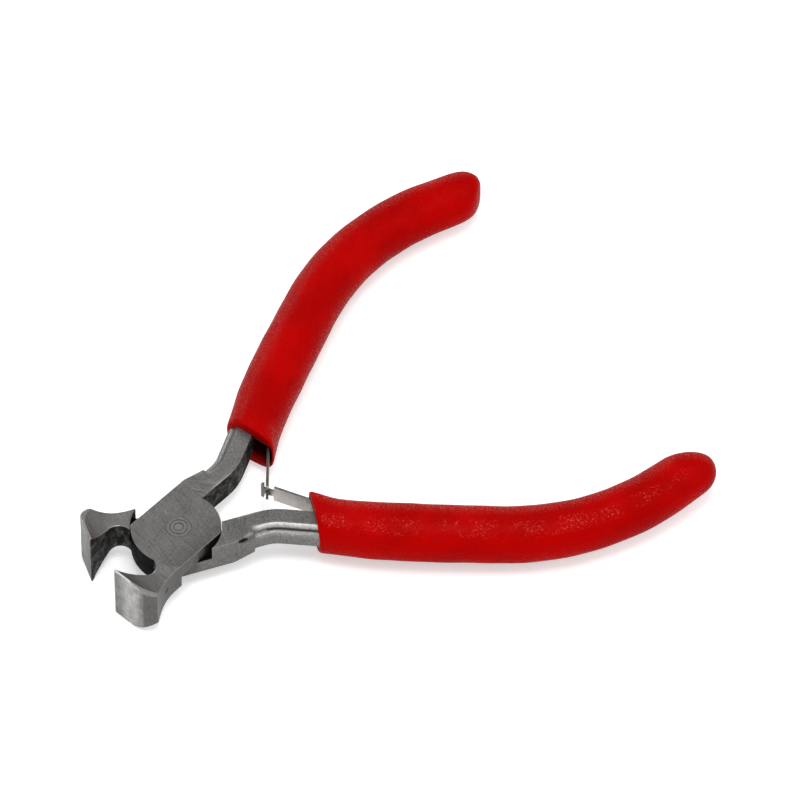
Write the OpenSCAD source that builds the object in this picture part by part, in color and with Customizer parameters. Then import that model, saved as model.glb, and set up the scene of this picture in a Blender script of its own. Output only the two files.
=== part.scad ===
// End cutting nippers: two flipped copies of one forged half turn on a flush rivet, and a pair of leaf
// springs, hooked together at their tips, pushes the dipped handles apart.
// A half is drawn with the tool shut: the pivot is at zero, +X runs to the handles, the half's own jaw lies
// below the X axis and its own arm above it. The two halves are then turned apart to the rest opening.
// The origin of the whole tool is on the pivot axis, at the lower flat of the joint.

/* [Joint] */
// Thickness of the joint across both laps
joint_t = 5.9; // [5.4:0.1:6.6]
// Gap between the two lap faces
lap_gap = 0.08; // [0.04:0.01:0.15]
// Radius of a lap plate's round edge beside the jaws
plate_front_r = 8.8; // [8.4:0.05:9.2]
// Radius of a lap plate's round edge beside the arms
plate_back_r = 7.75; // [7.4:0.05:8]
// Half width of a lap plate on the side of its own arm
plate_arm_side = 6.75; // [6.6:0.05:7]
// Half width of a lap plate on the side of its own jaw
plate_jaw_side = 6.5; // [6.2:0.05:6.8]
// Gap between a plate's round edge and the pocket milled for it in the other half
pocket_gap = 0.14; // [0.08:0.01:0.25]
// Angle between the halves at rest, with the springs relaxed
open_angle = 28; // [24:0.5:29]

/* [Jaws] */
// Distance from the pivot to the ground end face
jaw_reach = 16.9; // [16:0.1:18]
// Depth of a jaw from its cutting edge to its back corner
jaw_depth = 8.8; // [8.2:0.1:9.6]
// Height of the jaws across their flare
jaw_h = 13.3; // [11:0.1:15]
// Gap left between the two cutting edges when the tool is shut
edge_gap = 0.04; // [0.02:0.01:0.1]
// Width of the narrow flat along a cutting edge
edge_land = 0.15; // [0.1:0.05:0.4]
// Distance from the pivot to the middle of the throat
throat_x = 10.9; // [10.6:0.05:11.4]
// Depth of the middle of the throat below the cutting edge
throat_y = 1.45; // [1.2:0.05:1.7]
// Radius that rounds the ground end face into the back corner
face_corner_r = 3.5; // [2.5:0.1:4.5]
// Distance from the pivot to where the jaws start to flare
flare_start = 9.6; // [9.2:0.1:10.4]
// Radius of the crown that lowers a jaw towards its back corner
crown_r = 12.1; // [11:0.1:14]
// Depth below the cutting edge at which the crown is highest
crown_y = 1; // [0:0.1:2]
// Width of the polished bevel between the end face and the flare
face_bevel = 0.5; // [0.2:0.05:0.8]
// Radius of the scallop between a jaw's back corner and the joint
scallop_r = 13.5; // [11:0.5:16]
// Distance from the pivot to where the scallop leaves the joint's side
scallop_x = 7.3; // [7:0.1:8]

/* [Arms] */
// Distance from the tool's middle line to an arm's inner face when shut
arm_side = 1.42; // [1.3:0.02:1.54]
// Distance from the pivot to the start of the arm's bend
neck_x = 14.6; // [14:0.1:15.4]
// Radius of the bend, on the arm's inner face
bend_r = 11.5; // [10:0.1:13]
// Angle that the bend turns through
bend_angle = 24.6; // [23.5:0.1:26]
// Width of the tang from its inner face to the top of its bulge
tang_w = 4.85; // [4.6:0.05:5]
// Width of the tang's full-height part
ridge_w = 3.65; // [3.4:0.05:3.8]
// Radius of the tang's outer ridges
ridge_r = 0.9; // [0.5:0.05:1.1]
// Height of the bulge along the outside of the tang
bulge_h = 3.7; // [3.2:0.05:3.9]
// Radius that rounds the bulge
bulge_r = 1.1; // [0.95:0.05:1.15]
// Radius of the groove between a ridge and the bulge
groove_r = 0.2; // [0.1:0.05:0.3]
// Distance from the pivot to the arm's shoulder
shoulder_x = 10.6; // [10.2:0.1:11]
// Length over which the shoulder falls to the neck
shoulder_run = 1.9; // [1.6:0.1:2.4]
// Length by which the shoulder's chamfer starts before the shoulder
chamfer_run = 2.2; // [1.6:0.1:2.6]

/* [Handles] */
// Straight run of tang from the bend to the grip's mouth
mouth_lead = 3.8; // [3.4:0.1:4.4]
// Length of the nearly straight stretch of the handle
straight_len = 36.3; // [33:0.1:40]
// Angle that the nearly straight stretch turns through
straight_angle = 4.7; // [3:0.1:6]
// Length of the curved stretch of the handle
crook_len = 32; // [29:0.5:36]
// Angle that the curved stretch turns through
crook_angle = 40.5; // [34:0.5:42]
// Length of the tail of the handle
tail_len = 10.4; // [9:0.1:12]
// Angle that the tail turns through
tail_angle = 2.5; // [1:0.1:4]
// Length of full-section tang inside the grip, before its plain core
tang_in = 5.5; // [5:0.1:7]
// Length of steel inside the grip
core_len = 66; // [50:1:68]
// Width of the core at its end
core_end_w = 2.6; // [2:0.1:3.6]
// Step from the tang down to the core inside the grip
core_step = 0.3; // [0.2:0.05:0.5]

/* [Grips] */
// Thickness of the grip over the outside of the tang
outer_cover = 1.45; // [1.3:0.05:2]
// Thickness of the grip over the inner face of the tang
inner_cover = 3.7; // [3.5:0.05:3.75]
// Thickness of the grip over each flat of the tang
flat_cover = 2.1; // [1.8:0.05:2.6]
// Distance that the grip's mouth sits towards the inner side of the handle
mouth_shift = 0.75; // [0.5:0.05:0.8]
// Length over which the grip returns from its mouth to the middle of the handle
mouth_run = 14; // [12:0.5:20]
// Extra width of the lip on the inner side of the mouth, where it is also squarer
lip_flare = 0.3; // [0.1:0.05:0.32]
// Length over which the lip's extra width fades
lip_run = 7; // [5:0.5:10]
// Distance from the handle's start to the middle of the mouth
mouth_back = 2; // [1.9:0.1:3]
// Slant of the mouth, as its set-back for each unit of width
mouth_slant_share = 0.31; // [0.2:0.01:0.4]
// Length of the mouth's rounded rim
rim_len = 0.7; // [0.6:0.05:1]
// Thickness lost at the very edge of the rim
rim_drop = 0.35; // [0.3:0.05:0.45]
// Length of the rounded end of the grip
tip_len = 6; // [4:0.1:7]
// Slant of the end, as its advance for each unit of width towards the outer side
tip_slant_share = 0.2; // [0.1:0.02:0.3]
// Clearance between the grip and the steel inside it
grip_gap = 0.04; // [0.02:0.01:0.1]

/* [Leaf springs] */
// Thickness of the spring leaf
leaf_t = 0.45; // [0.35:0.05:0.5]
// Width of the spring leaf
leaf_w = 3.8; // [3.6:0.1:4.6]
// Distance from the grip's start to the leaf's root
leaf_root = 10.3; // [9.8:0.1:10.8]
// Angle between the relaxed leaf and the tang's inner face
leaf_tilt = 18.8; // [18.3:0.1:19.3]
// Gap between the leaf's root and the tang's inner face
root_gap = 0.1; // [0.06:0.01:0.2]
// Length of the leaf's foot behind its rivet
leaf_foot = 1.7; // [1.5:0.1:2]
// Height of the tongue that passes through the slot
tongue_h = 1.5; // [1.2:0.1:1.8]
// Length of the hooked head
head_len = 0.5; // [0.4:0.05:0.7]
// Distance from the crossing of the leaves back to the tongue's shoulders
tongue_back = 1.4; // [1.3:0.05:2]
// Distance from the crossing of the leaves on to the hooked head
tongue_on = 0.62; // [0.6:0.02:0.8]
// Clearance above and below the tongue in its slot
slot_gap = 0.3; // [0.2:0.05:0.5]
// Length of the slotted leaf beyond the crossing
slot_end = 1; // [0.95:0.05:1.5]
// Length of steel left at the end of the slot
slot_rim = 0.4; // [0.3:0.05:0.4]
// Gap between the leaf and the grip around it
leaf_gap = 0.2; // [0.15:0.05:0.25]

/* [Rivets] */
// Diameter of the pivot rivet's shank
pivot_d = 3.3; // [2.8:0.1:3.8]
// Diameter of the pivot rivet's flush heads
pivot_head_d = 4.7; // [4.3:0.1:5.6]
// Depth of the pivot rivet's flush heads
pivot_head_t = 0.8; // [0.6:0.05:1.2]
// Running clearance round the pivot rivet
pivot_gap = 0.04; // [0.02:0.01:0.08]
// Diameter of the punch mark in the middle of the head
punch_d = 1.75; // [1.2:0.05:2]
// Width of the ring marks in the head
ring_w = 0.14; // [0.08:0.02:0.2]
// Depth of the ring marks in the head
ring_d = 0.06; // [0.04:0.01:0.1]
// Diameter of a leaf rivet's shank
leaf_rivet_d = 1.4; // [1.2:0.1:1.6]
// Diameter of a leaf rivet's head
leaf_rivet_head_d = 2.4; // [2.1:0.1:2.6]
// Thickness of a leaf rivet's head
leaf_rivet_head_t = 0.45; // [0.35:0.05:0.5]
// Depth of a leaf rivet in the tang
leaf_rivet_depth = 2.6; // [2:0.1:3]
// Clearance round a leaf rivet where the leaf rocks on it
leaf_rivet_gap = 0.12; // [0.1:0.01:0.16]
// Clearance between a leaf rivet and its hole in the tang
leaf_rivet_seat = 0.01; // [0.01:0.01:0.03]

/* [Hidden] */
$fn = 96;

// Overrun of the cuts
over = 2 * joint_t;
half_t = joint_t / 2;
half_open = open_angle / 2;

// Widths of the grip along its length, as shares of its width at the mouth, at equal steps
grip_width_shares = [1, 1.07, 1.04, 0.985, 0.99];
// Thicknesses of the grip along its length, in the same way
grip_height_shares = [1, 1, 1, 0.97, 0.87];
// Squareness of the grip's section, where 2 is an ellipse
grip_square_share = 2.15;
// Squareness of the inner side of the section at the mouth
mouth_square_share = 4;
// Squareness of the grip's rounded end
tip_square_share = 2.4;
// Smallest ring of the grip's end, as a share of its full section
tip_ring_share = 0.3;

// The throat reaches a little under the other half's plate
throat_r = throat_x - sqrt(pow(plate_front_r, 2) - pow(throat_y, 2)) + pocket_gap;
flare_rise = jaw_h / 2 - half_t;
flare_r = (pow(jaw_reach - flare_start, 2) + pow(flare_rise, 2)) / (2 * flare_rise);
neck_start = shoulder_x + shoulder_run;
neck_y = arm_side + tang_w;
shoulder_fall = atan2(plate_arm_side - neck_y, shoulder_run);
chamfer_tilt = atan2(half_t - bulge_h / 2, chamfer_run * sin(shoulder_fall));

grip_w = tang_w + outer_cover + inner_cover;
grip_t = joint_t + 2 * flat_cover;
// Middle of the handle, measured outwards from the tang's inner face
handle_mid = (tang_w + outer_cover - inner_cover) / 2;
handle_path = [[straight_len, -straight_angle], [crook_len, -crook_angle], [tail_len, -tail_angle]];
handle_len = straight_len + crook_len + tail_len;
bend_len = bend_r * bend_angle * PI / 180;

// A place on a path: x, y and heading
function step_on(p, len, turn) =
    let (r = turn == 0 ? 0 : len * 180 / (PI * turn), end = p[2] + turn)
    turn == 0
        ? [p[0] + len * cos(end), p[1] + len * sin(end), end]
        : [p[0] + r * (sin(end) - sin(p[2])), p[1] - r * (cos(end) - cos(p[2])), end];
function path_at(p, path, s, i = 0) =
    i == len(path) - 1 || s <= path[i][0]
        ? step_on(p, s, path[i][1] * s / path[i][0])
        : path_at(step_on(p, path[i][0], path[i][1]), path, s - path[i][0], i + 1);
// A place set off to the left of another
function beside(p, d) = [p[0] - d * sin(p[2]), p[1] + d * cos(p[2]), p[2]];
function arc(middle, r, from, to, steps = 6) =
    [for (i = [0 : steps]) let (a = from + (to - from) * i / steps) middle + r * [cos(a), sin(a)]];
function smooth(u) = let (v = min(1, max(0, u))) v * v * (3 - 2 * v);
// Smooth curve through a table of evenly spaced shares
function blend_of(table, u) =
    let (k = min(len(table) - 2, floor(u * (len(table) - 1))), f = u * (len(table) - 1) - k)
    table[k] + (table[k + 1] - table[k]) * smooth(f);

// The straight stretches of the tang run a little over its bend, which is a hair smaller
hair = core_step / 30;
overlap = core_step / 5;
neck_place = [neck_start - overlap, arm_side, 0];
bend_place = step_on([neck_x, arm_side, 0], bend_len, bend_angle);
mouth_place = beside(step_on(bend_place, mouth_lead, 0), handle_mid);

// Leaf: its root, the heading from tip to root when relaxed, and its length to the crossing of the leaves,
// which lies on the tool's middle line both at rest and shut
leaf_set = leaf_t / 2 + root_gap;
root_place = beside(path_at(mouth_place, handle_path, leaf_root), -handle_mid);
leaf_place = beside(root_place, -leaf_set);
leaf_heading = leaf_place[2] + leaf_tilt;
root_r = norm([leaf_place[0], leaf_place[1]]);
root_angle = atan2(leaf_place[1], leaf_place[0]);
leaf_len = root_r * sin(root_angle + half_open) / sin(leaf_heading + half_open);
leaf_shut = asin(leaf_place[1] / leaf_len);
leaf_swing = leaf_heading - leaf_shut;
// The slot takes the hooked head when it is turned a quarter
slot_len = leaf_w + 2 * slot_gap;
slot_h = tongue_h + 2 * slot_gap;
// Room under the rivet's head for the leaf to rock through half its swing
rock_room = (leaf_rivet_head_d / 2) * sin(leaf_swing / 2) + root_gap;
seat_len = leaf_foot + leaf_w / 8;
seat_depth = seat_len * tan(leaf_tilt) + root_gap;

module place_top() {
    translate([0, 0, half_t]) rotate(half_open) children();
}

module place_bottom() {
    translate([0, 0, half_t]) rotate([180, 0, 0]) rotate(half_open) children();
}

module at_place(p) {
    translate([p[0], p[1], 0]) rotate(p[2]) children();
}

// One stretch of a path, swept from a flat profile whose x is the offset to the left and whose y is height
module stretch(len, turn) {
    r = turn == 0 ? 0 : len * 180 / (PI * abs(turn));
    if (turn == 0)
        rotate([90, 0, 90]) linear_extrude(len) children();
    else if (turn > 0)
        translate([0, r]) rotate(-90)
            rotate_extrude(angle = turn) translate([r, 0]) mirror([1, 0]) children();
    else
        translate([0, -r]) rotate(90 + turn)
            rotate_extrude(angle = -turn) translate([r, 0]) children();
}

// Section of the tang: a full-height bar with rounded outer ridges, a groove on each side and a round bulge
module tang_section(grow = 0) {
    bulge_x = tang_w - bulge_r;
    start = acos((ridge_w + groove_r - bulge_x) / bulge_r);
    half_section = concat(
        [[-grow, half_t + grow]],
        arc([ridge_w - ridge_r, half_t - ridge_r], ridge_r + grow, 90, 0),
        [[ridge_w - groove_r + grow, bulge_h / 2 - groove_r + grow]],
        arc([bulge_x, bulge_h / 2 - bulge_r], bulge_r + grow, start, 0)
    );
    mirrored = [for (i = [len(half_section) - 1 : -1 : 0]) [half_section[i][0], -half_section[i][1]]];
    polygon(concat(half_section, mirrored));
}

// Plan of the core, a plain bar that narrows from the tang to its end
module core_outline(grow = 0) {
    steps = 24;
    start = tang_in - core_step;
    inner = [for (i = [0 : steps]) core_place(start + (core_len + grow - start) * i / steps, 0, -grow)];
    outer = [for (i = [0 : steps]) core_place(start + (core_len + grow - start) * i / steps, 1, grow)];
    polygon(concat(inner, [for (i = [steps : -1 : 0]) outer[i]]));
}

// A corner of the core's plan at a distance along the handle, on its inner side or its outer one
function core_place(s, side, off) =
    let (
        u = s / core_len,
        low = core_step * u * 2,
        high = low + (tang_w - core_step) * (1 - u) + core_end_w * u,
        p = beside(path_at(mouth_place, handle_path, s), (side == 0 ? low : high) - handle_mid + off)
    )
    [p[0], p[1]];

// Steel of the tang from the neck to its end inside the grip, grown where the grip's channel is cut
module tang(grow = 0) {
    at_place(neck_place) stretch(neck_x - neck_start + 2 * overlap, 0) tang_section(grow);
    at_place([neck_x, arm_side, 0]) stretch(bend_len, bend_angle) tang_section(grow - hair);
    at_place(step_on(bend_place, -overlap, 0))
        stretch(overlap + mouth_lead + tang_in + grow, 0) tang_section(grow);
    linear_extrude(joint_t + 2 * (grow - core_step), center = true) core_outline(grow);
}

// Outline of a lap plate, which turns in the pocket of the other half
module plate_outline() {
    difference() {
        union() {
            intersection() {
                circle(plate_front_r);
                translate([-over, -over]) square([over, 2 * over]);
            }
            circle(plate_back_r);
        }
        translate([-over, plate_arm_side]) square([2 * over, over]);
        translate([-over, -plate_jaw_side - over]) square([2 * over, over]);
    }
}

// Room for the other half's plate
module pocket_outline() {
    circle(plate_back_r + pocket_gap);
    intersection() {
        circle(plate_front_r + pocket_gap);
        translate([-over, -over]) square([over, 2 * over]);
    }
}

// Outline of a jaw: ground end face, rounded back corner, scallop, sloping blade and round throat
module jaw_outline() {
    edge = [edge_land - jaw_reach, -edge_gap / 2];
    middle = [-throat_x, -throat_y];
    span = norm(middle - edge);
    aim = atan2(middle[1] - edge[1], middle[0] - edge[0]) - asin(throat_r / span);
    run = sqrt(pow(span, 2) - pow(throat_r, 2));
    difference() {
        union() {
            translate([-jaw_reach, face_corner_r - jaw_depth])
                square([jaw_reach - throat_x / 2, jaw_depth - face_corner_r - edge_gap / 2]);
            translate([face_corner_r - jaw_reach, -jaw_depth])
                square([jaw_reach - face_corner_r - throat_x / 2, face_corner_r]);
            translate([face_corner_r - jaw_reach, face_corner_r - jaw_depth]) circle(face_corner_r);
        }
        translate([-scallop_x, -plate_jaw_side - scallop_r]) circle(scallop_r);
        translate([-scallop_x, -plate_jaw_side - over]) square([scallop_x, over]);
        translate(middle) circle(throat_r);
        polygon([
            edge, edge + run * [cos(aim), sin(aim)], middle,
            [0, -throat_y], [0, jaw_depth], [edge[0], jaw_depth]
        ]);
    }
}

// Side view of the jaws: level with the joint, then flaring to the end face with a bevel at its rim
module jaw_side() {
    top = jaw_h / 2;
    translate([-jaw_reach, -half_t]) square([jaw_reach, joint_t]);
    difference() {
        polygon([
            [-jaw_reach, face_bevel - top], [face_bevel - jaw_reach, -top], [-flare_start, -top],
            [-flare_start, top], [face_bevel - jaw_reach, top], [-jaw_reach, top - face_bevel]
        ]);
        for (side = [-1, 1])
            translate([-flare_start, side * (half_t + flare_r)]) circle(flare_r);
    }
}

// End view of a jaw, lower towards its back corner
module jaw_crown() {
    rise = jaw_h / 2 - crown_r;
    intersection_for (side = [-1, 1])
        translate([-crown_y, side * rise]) circle(crown_r);
}

module jaw() {
    intersection() {
        linear_extrude(jaw_h + over, center = true) jaw_outline();
        rotate([90, 0, 0]) linear_extrude(4 * over, center = true) jaw_side();
        rotate([90, 0, 90]) linear_extrude(4 * over, center = true) jaw_crown();
    }
}

// Root of the arm, with the shoulder that falls to the neck
module arm_root() {
    difference() {
        linear_extrude(joint_t, center = true)
            polygon([
                [0, arm_side], [neck_start, arm_side], [neck_start, neck_y],
                [shoulder_x, plate_arm_side], [0, plate_arm_side]
            ]);
        for (side = [0, 1])
            mirror([0, 0, side])
                translate([shoulder_x - chamfer_run, plate_arm_side, half_t])
                    rotate([0, 0, -shoulder_fall]) rotate([-chamfer_tilt, 0, 0])
                        translate([-half_t, -over]) cube([2 * over, 2 * over, over]);
    }
}

// Relief behind the leaf's root, sloped as the relaxed leaf is
module leaf_seat() {
    at_place(root_place)
        linear_extrude(2 * over, center = true)
            polygon([[0, -over], [0, 0], [seat_len, seat_depth], [seat_len, -over]]);
}

// A leaf rivet's place, square to the leaf half way through its swing, with +Z out of the tang
module at_leaf_rivet() {
    translate([leaf_place[0], leaf_place[1], 0])
        rotate([90, 0, leaf_heading - leaf_swing / 2]) children();
}

module half() {
    difference() {
        union() {
            linear_extrude(joint_t, center = true) plate_outline();
            jaw();
            arm_root();
            tang();
        }
        translate([0, 0, lap_gap / 2 - over]) linear_extrude(over) pocket_outline();
        pivot_solid(pivot_gap);
        leaf_seat();
        at_leaf_rivet() translate([0, 0, -leaf_rivet_depth])
            cylinder(d = leaf_rivet_d + 2 * leaf_rivet_seat, h = leaf_rivet_depth);
    }
}

// The pivot rivet's shank and countersunk heads, grown where they are cut from a half
module pivot_solid(grow = 0) {
    r = pivot_d / 2 + grow;
    head_r = pivot_head_d / 2 + grow;
    cone = half_t - pivot_head_t;
    rotate_extrude()
        polygon([
            [0, -half_t - grow], [head_r, -half_t - grow], [head_r, -half_t], [r, -cone],
            [r, cone], [head_r, half_t], [head_r, half_t + grow], [0, half_t + grow]
        ]);
}

module pivot_rivet() {
    color("dimgray") translate([0, 0, half_t]) difference() {
        pivot_solid();
        for (side = [-1, 1], d = [pivot_d, punch_d])
            translate([0, 0, side * half_t])
                rotate_extrude()
                    translate([d / 2 - ring_w, -ring_d]) square([ring_w, 2 * ring_d]);
    }
}

module at_leaf() {
    at_place([leaf_place[0], leaf_place[1], leaf_heading + 180]) children();
}

// A leaf lies along +X from its root at zero, with a hole for its rivet and a cut of its own at the end
module leaf(len, corner) {
    at_leaf() rotate([90, 0, 0]) linear_extrude(leaf_t, center = true) difference() {
        union() {
            translate([-leaf_foot, -leaf_w / 2]) square([leaf_foot + len - corner, leaf_w]);
            translate([-leaf_foot, corner - leaf_w / 2]) square([leaf_foot + len, leaf_w - 2 * corner]);
            for (side = [-1, 1])
                translate([len - corner, side * (leaf_w / 2 - corner)]) circle(corner);
        }
        circle(leaf_rivet_d / 2 + leaf_rivet_gap);
        children();
    }
}

module slotted_leaf() {
    color("silver") place_top() leaf(leaf_len + slot_end, leaf_w / 4)
        translate([leaf_len + slot_end - slot_rim - slot_len, -slot_h / 2]) square([slot_len, slot_h]);
}

// The strip is notched on both sides, which leaves a tongue and a head as wide as the strip
module hooked_leaf() {
    color("silver") place_bottom() leaf(leaf_len + tongue_on + head_len, head_len / 2)
        for (side = [-1, 1])
            translate([leaf_len - tongue_back, side * (tongue_h + leaf_w) / 2 - leaf_w / 2])
                square([tongue_back + tongue_on, leaf_w]);
}

module leaf_rivet() {
    under = leaf_t / 2 + rock_room;
    at_leaf_rivet() {
        translate([0, 0, -leaf_rivet_depth])
            cylinder(d = leaf_rivet_d, h = leaf_rivet_depth + under + leaf_rivet_head_t / 2);
        translate([0, 0, under]) cylinder(d = leaf_rivet_head_d, h = leaf_rivet_head_t);
    }
}

module slotted_leaf_rivet() {
    color("gray") place_top() leaf_rivet();
}

module hooked_leaf_rivet() {
    color("gray") place_bottom() leaf_rivet();
}

// Half widths and heights of the grip at a distance along the handle, before its end is rounded
function grip_size(s) =
    let (
        u = min(1, max(0, s / handle_len)),
        w = grip_w * blend_of(grip_width_shares, u) / 2,
        back = mouth_shift * (1 - smooth(s / mouth_run)),
        lip = lip_flare * (1 - smooth(s / lip_run))
    )
    [w - back, w + back + lip, grip_t * blend_of(grip_height_shares, u) / 2];

// One ring of the grip's skin: at s along the handle, with its section scaled, thinned and slanted
function grip_ring(s, scale, thin, slant, sides) =
    let (g = grip_size(s))
    [for (j = [0 : sides - 1])
        let (
            a = 360 * j / sides,
            c = cos(a),
            boxy = c < 0 ? mouth_square_share - grip_square_share : 0,
            e = 2 / (grip_square_share + boxy * (1 - smooth(s / lip_run))),
            wide = (c > 0 ? g[0] : g[1]) * scale - thin,
            n = sign(c) * pow(abs(c), e) * wide,
            z = sign(sin(a)) * pow(abs(sin(a)), e) * (g[2] * scale - thin),
            p = beside(path_at(mouth_place, handle_path, s + slant * n), n)
        )
        [p[0], p[1], z]];

// Slant of the grip's rings, which stand square to the handle between the mouth and the end
function grip_slant(s) =
    mouth_slant_share * (1 - smooth((s - mouth_back) / mouth_run))
    + tip_slant_share * smooth(1 - (handle_len - tip_len - s) / mouth_run);

// The grip's skin: a slanted mouth with a rounded rim, a swelling body and a blunt rounded end
module grip_skin() {
    sides = 28;
    body_rings = 22;
    end_rings = 7;
    end_angle = acos(pow(tip_ring_share, tip_square_share / 2));
    body_start = mouth_back + rim_len;
    body_end = handle_len - tip_len;
    rings = concat(
        [grip_ring(mouth_back, 1, rim_drop, mouth_slant_share, sides)],
        [for (i = [0 : body_rings - 1])
            let (s = body_start + (body_end - body_start) * i / body_rings)
            grip_ring(s, 1, 0, grip_slant(s), sides)],
        [for (i = [0 : end_rings])
            let (a = end_angle * i / end_rings)
            grip_ring(
                body_end + tip_len * pow(sin(a), 2 / tip_square_share),
                pow(cos(a), 2 / tip_square_share), 0, tip_slant_share, sides
            )]
    );
    count = len(rings);
    polyhedron(
        points = [for (ring = rings, p = ring) p],
        faces = concat(
            [[for (j = [0 : sides - 1]) j]],
            [for (i = [0 : count - 2], j = [0 : sides - 1])
                let (k = (j + 1) % sides)
                [i * sides + j, (i + 1) * sides + j, i * sides + k]],
            [for (i = [0 : count - 2], j = [0 : sides - 1])
                let (k = (j + 1) % sides)
                [i * sides + k, (i + 1) * sides + j, (i + 1) * sides + k]],
            [[for (j = [sides - 1 : -1 : 0]) (count - 1) * sides + j]]
        )
    );
}

// Hollow of the grip's mouth, where the leaf springs out beside the tang
module leaf_pocket() {
    mouth_depth = leaf_set + leaf_root * tan(leaf_tilt) + leaf_t / 2 + leaf_gap;
    root_depth = leaf_set + leaf_t / 2 + rock_room + leaf_rivet_head_t + leaf_gap;
    end = leaf_foot + leaf_rivet_head_d / 2;
    at_place(root_place)
        linear_extrude(leaf_w + 4 * leaf_gap, center = true)
            polygon([
                [-leaf_root - over, core_step], [-leaf_root - over, -mouth_depth - over * tan(leaf_tilt)],
                [-leaf_root, -mouth_depth], [end, -root_depth], [end, core_step]
            ]);
}

module grip() {
    difference() {
        grip_skin();
        tang(grip_gap);
        leaf_pocket();
    }
}

module top_grip() {
    color("crimson") place_top() grip();
}

module bottom_grip() {
    color("crimson") place_bottom() grip();
}

module top_half() {
    color("darkgray") place_top() half();
}

module bottom_half() {
    color("darkgray") place_bottom() half();
}

top_half();
bottom_half();
pivot_rivet();
top_grip();
bottom_grip();
slotted_leaf();
hooked_leaf();
slotted_leaf_rivet();
hooked_leaf_rivet();
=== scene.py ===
"""End cutting nippers with red dipped grips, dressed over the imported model.

The steel pieces keep their exact solids and get finishes here; a smooth closed skin replaces each soft grip.
Sizes are in millimetres in the frame of one shut half: X runs along the handles, Y to the side that its
handle bends to, and Z along the pivot. A span holds where a mask is 0 and where it is 1.
"""

import logging
import math
from collections.abc import Callable
from dataclasses import dataclass
from enum import Enum

import bpy
import numpy as np
from mathutils import Matrix, Vector


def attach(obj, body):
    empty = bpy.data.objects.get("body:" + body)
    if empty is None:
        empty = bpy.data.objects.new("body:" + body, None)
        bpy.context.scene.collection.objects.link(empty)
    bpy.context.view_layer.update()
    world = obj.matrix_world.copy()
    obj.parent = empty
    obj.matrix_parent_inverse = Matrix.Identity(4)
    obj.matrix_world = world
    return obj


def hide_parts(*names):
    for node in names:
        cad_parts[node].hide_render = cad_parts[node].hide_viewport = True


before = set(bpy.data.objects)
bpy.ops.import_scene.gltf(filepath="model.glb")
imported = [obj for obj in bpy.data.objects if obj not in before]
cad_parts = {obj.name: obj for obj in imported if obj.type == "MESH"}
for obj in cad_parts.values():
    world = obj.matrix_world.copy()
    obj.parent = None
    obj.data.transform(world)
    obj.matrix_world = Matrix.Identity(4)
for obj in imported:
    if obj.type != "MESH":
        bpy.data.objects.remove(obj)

log = logging.getLogger("nippers")

Triple = tuple[float, float, float]
Colour = Triple
Span = tuple[float, float]

MM = 0.001
PER_METRE = (1000.0, 1000.0, 1000.0)
EVEN = (1.0, 1.0, 1.0)
WHITE = (1.0, 1.0, 1.0)

# Half of the joint's thickness, and half of the opening at rest in degrees
HALF_T = 2.95
HALF_OPEN = 14.0


class Lever(Enum):
    """The two flipped copies of one lever, with what turns each from its shut place to rest."""

    TOP = "top_lever"
    BOTTOM = "bottom_lever"

    @property
    def flip(self) -> float:
        """Sign of the height and of the sideways direction at rest."""
        return 1.0 if self is Lever.TOP else -1.0

    @property
    def short(self) -> str:
        """First part of the names of this lever's nodes."""
        return self.value.split("_")[0]

    def to_row(self, points: np.ndarray) -> np.ndarray:
        """Turn millimetres in the lever's shut frame to metres in the row frame at rest."""
        a = math.radians(HALF_OPEN)
        x = points[..., 0] * math.cos(a) - points[..., 1] * math.sin(a)
        y = points[..., 0] * math.sin(a) + points[..., 1] * math.cos(a)
        z = points[..., 2]
        return np.stack([x, self.flip * y, self.flip * z + HALF_T], axis=-1) * MM


def joined(operation: str) -> Callable:
    """Make a method that joins a socket to other values by one Math node."""

    def method(self: "Shade", *others: "Shade | float") -> "Shade":
        """Add the node, with this socket as its first value."""
        values = {0: self, **dict(enumerate(others, 1))}
        return self.tree.node("ShaderNodeMath", {"operation": operation}, values)

    return method


@dataclass(frozen=True)
class Shade:
    """A socket in a node tree, on which sums and products are written as expressions.

    Of two masks, | takes either and & takes both.
    """

    tree: "Tree"
    socket: bpy.types.NodeSocket

    __add__ = __radd__ = joined("ADD")
    __sub__ = joined("SUBTRACT")
    __mul__ = joined("MULTIPLY")
    __truediv__ = joined("DIVIDE")
    __pow__ = joined("POWER")
    __abs__ = joined("ABSOLUTE")
    __or__ = joined("MAXIMUM")
    __and__ = joined("MINIMUM")

    def __rsub__(self, other: float) -> "Shade":
        """Difference from a number."""
        return -self + other

    def __neg__(self) -> "Shade":
        """Opposite."""
        return self * -1.0

    def swing(self, share: float) -> "Shade":
        """Bring a noise from around one half to around 0 and scale it."""
        return (self - 0.5) * share

    def ramp(self, low: float, high: float) -> "Shade":
        """Mask that rises smoothly from 0 at low to 1 at high, or falls where low is above high."""
        settings = {"interpolation_type": "SMOOTHSTEP"}
        ends = {1: min(low, high), 2: max(low, high), 3: float(low > high), 4: float(low <= high)}
        return self.tree.node("ShaderNodeMapRange", settings, {0: self, **ends})


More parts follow.
